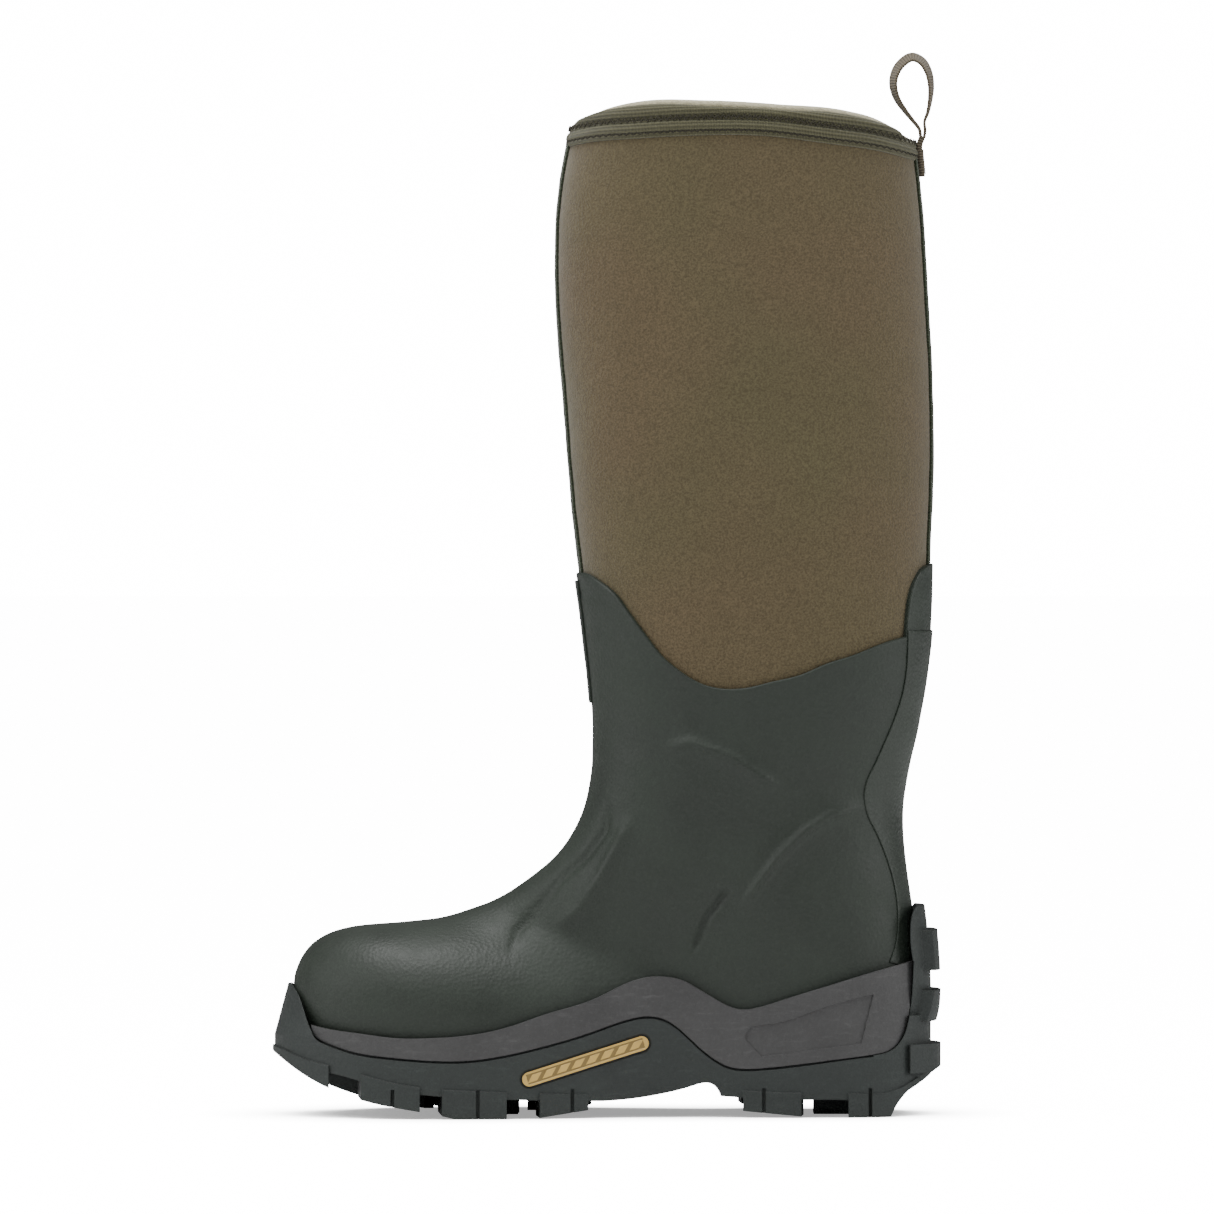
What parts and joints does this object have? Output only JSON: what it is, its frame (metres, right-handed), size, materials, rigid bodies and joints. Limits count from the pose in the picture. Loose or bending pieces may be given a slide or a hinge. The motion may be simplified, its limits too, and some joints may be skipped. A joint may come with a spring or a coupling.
{
  "type": "boot",
  "caption": "Tall insulated pull-on boot for the right foot: rubber foot shell over a neoprene and fleece bootie, lugged sole with heel kick spur, pull loop and lift-out footbed",
  "frame": {"origin": "on the floor under the middle of the heel, at the centre of the flat heel lug", "axes": "toe to -X, inner (medial) side of the foot to -Y, up the shaft +Z"},
  "size_m": [0.301, 0.1082, 0.4764],
  "materials": {
    "outsole": "matte moulded rubber",
    "foxing": "matte rubber, lightly scuffed",
    "foam": "closed-cell foam",
    "shank": "spring steel",
    "board": "fibreboard",
    "footbed": "fabric-faced foam",
    "fleece": "brushed fleece",
    "neoprene": "jersey-faced closed-cell neoprene",
    "shell": "satin hand-laid rubber",
    "tape": "matte rubberised tape",
    "binding": "ribbed elastic tape",
    "thread": "polyester thread",
    "webbing": "woven nylon webbing",
    "badge": "satin moulded badge"
  },
  "bodies": {
    "boot": {"outsole": "outsole", "foxing_band": "foxing", "foam_midsole": "foam", "shank": "shank", "lasting_board": "board", "fleece_lining": "fleece", "neoprene_inner": "neoprene", "neoprene_outer": "neoprene", "rubber_shell": "shell", "rear_strip": "shell", "rear_tab": "shell", "shin_strip": "shell", "front_seam_tape": "tape", "rear_seam_tape": "tape", "collar_binding": "binding", "collar_stitching": "thread", "pull_loop_tail": "webbing", "pull_loop_stitching": "thread", "badge_inner": "badge", "badge_outer": "badge"},
    "footbed": {"footbed": "footbed"},
    "pull_loop": {"pull_loop": "webbing"}
  },
  "joints": [
    {"name": "footbed_lift", "type": "slide", "parent": "boot", "child": "footbed", "axis": [0, 0, 1], "range_m": [0, 0.012]},
    {"name": "pull_loop_fold", "type": "hinge", "parent": "boot", "child": "pull_loop", "pos_m": [0.037, 0, 0.4387], "axis": [0, 1, 0], "range_deg": [-30, 130], "stiffness_Nm_per_rad": 0.02}
  ]
}
